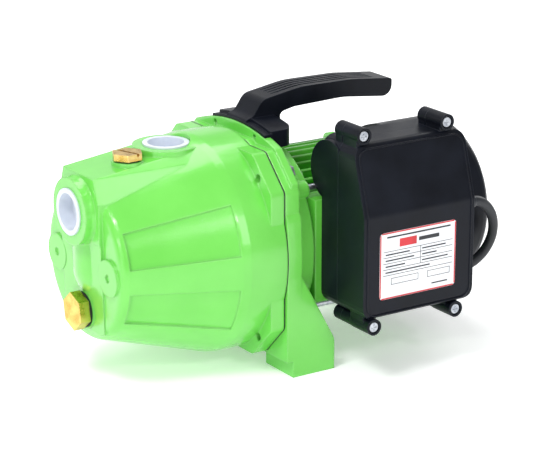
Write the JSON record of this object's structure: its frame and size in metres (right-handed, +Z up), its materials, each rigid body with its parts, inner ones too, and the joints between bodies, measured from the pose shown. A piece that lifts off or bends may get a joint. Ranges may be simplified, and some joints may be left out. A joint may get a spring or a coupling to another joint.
{
  "type": "shallow well jet pump",
  "caption": "Self-priming jet pump: cast casing with inner ejector, threaded suction and discharge ports, feet bracket, finned motor, side terminal box, handle and mains lead.",
  "frame": {"origin": "on the ground, midway between the two foot bolts", "axes": "+X along the shaft from the suction port to the fan, +Z up, the terminal box on the -Y side"},
  "size_m": [0.3305, 0.3188, 0.196],
  "materials": {
    "casting_enamel": "gloss green enamel on cast iron",
    "motor_enamel": "gloss green enamel on cast aluminium",
    "cap_plastic": "white moulded polyethylene",
    "plug_brass": "turned",
    "seal_rubber": "nitrile rubber",
    "ejector_plastic": "glass filled plastic",
    "diffuser_plastic": "glass filled plastic",
    "bright_steel": "ground steel",
    "zinc_steel": "zinc plated",
    "lamination_steel": "varnished laminations",
    "winding_copper": "enamelled copper",
    "seal_ceramic": "ceramic",
    "seal_carbon": "carbon graphite",
    "black_plastic": "satin black moulding",
    "gland_plastic": "black nylon",
    "terminal_plastic": "melamine",
    "capacitor_plastic": "grey plastic can",
    "label_film": "printed polyester film",
    "cord_rubber": "rubber sheath"
  },
  "bodies": {
    "frame": {"pump_casing": "casting_enamel", "casing_gasket": "seal_rubber", "nozzle": "plug_brass", "venturi_tube": "ejector_plastic", "venturi_seal": "seal_rubber", "diffuser": "diffuser_plastic", "seal_seat": "seal_ceramic", "bracket": "casting_enamel", "casing_bolts": "zinc_steel", "bearing_outer_rings": "bright_steel", "preload_washer": "bright_steel", "motor_housing": "motor_enamel", "stator_core": "lamination_steel", "windings": "winding_copper", "rear_shield": "motor_enamel", "tie_bolts": "zinc_steel", "fan_cover": "black_plastic", "fan_cover_screws": "zinc_steel", "handle": "black_plastic", "handle_screws": "zinc_steel", "box_base": "black_plastic", "box_gasket": "seal_rubber", "box_cover": "black_plastic", "cover_screws": "zinc_steel", "box_mounting_screws": "zinc_steel", "terminal_block": "terminal_plastic", "capacitor": "capacitor_plastic", "cable_gland": "gland_plastic", "strain_relief": "cord_rubber", "rating_label": "label_film", "power_cord": "cord_rubber", "cord_coil": "cord_rubber", "cord_tie": "gland_plastic", "mains_plug": "cord_rubber"},
    "rotor": {"shaft": "bright_steel", "rotor_core": "lamination_steel", "impeller": "plug_brass", "impeller_key": "bright_steel", "impeller_nut": "plug_brass", "seal_ring": "seal_carbon", "seal_spring": "bright_steel", "slinger": "seal_rubber", "bearing_inner_rings": "bright_steel", "fan": "black_plastic"},
    "bearing_cages": {"bearing_balls": "bright_steel"},
    "suction_cap": {"suction_cap": "cap_plastic"},
    "discharge_cap": {"discharge_cap": "cap_plastic"},
    "filling_seal": {"filling_plug_seal": "seal_rubber"},
    "filling_plug": {"filling_plug": "plug_brass"},
    "drain_seal": {"drain_plug_seal": "seal_rubber"},
    "drain_plug": {"drain_plug": "plug_brass"}
  },
  "joints": [
    {"name": "rotor_spin", "type": "hinge", "parent": "frame", "child": "rotor", "pos_m": [0, 0, 0.0885], "axis": [1, 0, 0], "continuous": true},
    {"name": "bearing_roll", "type": "hinge", "parent": "frame", "child": "bearing_cages", "pos_m": [0, 0, 0.0885], "axis": [1, 0, 0], "continuous": true},
    {"name": "suction_cap_slide", "type": "slide", "parent": "frame", "child": "suction_cap", "axis": [-1, 0, 0], "range_m": [0, 0.06]},
    {"name": "discharge_cap_slide", "type": "slide", "parent": "frame", "child": "discharge_cap", "axis": [0, 0, 1], "range_m": [0, 0.06]},
    {"name": "filling_turn", "type": "hinge", "parent": "frame", "child": "filling_seal", "pos_m": [-0.112, -0.0095, 0.166], "axis": [0, 0, 1], "range_deg": [0, 2880]},
    {"name": "filling_rise", "type": "slide", "parent": "filling_seal", "child": "filling_plug", "axis": [0, 0, 1], "range_m": [0, 0.0108]},
    {"name": "drain_turn", "type": "hinge", "parent": "frame", "child": "drain_seal", "pos_m": [-0.154, 0, 0.0535], "axis": [-1, 0, 0], "range_deg": [0, 2880]},
    {"name": "drain_rise", "type": "slide", "parent": "drain_seal", "child": "drain_plug", "axis": [-1, 0, 0], "range_m": [0, 0.0108]}
  ],
  "couplings": [
    {"joint": "bearing_roll", "follows": "rotor_spin", "ratio": 0.37},
    {"joint": "filling_rise", "follows": "filling_turn", "m_per_rad": 0.00021279},
    {"joint": "drain_rise", "follows": "drain_turn", "m_per_rad": 0.00021279}
  ]
}
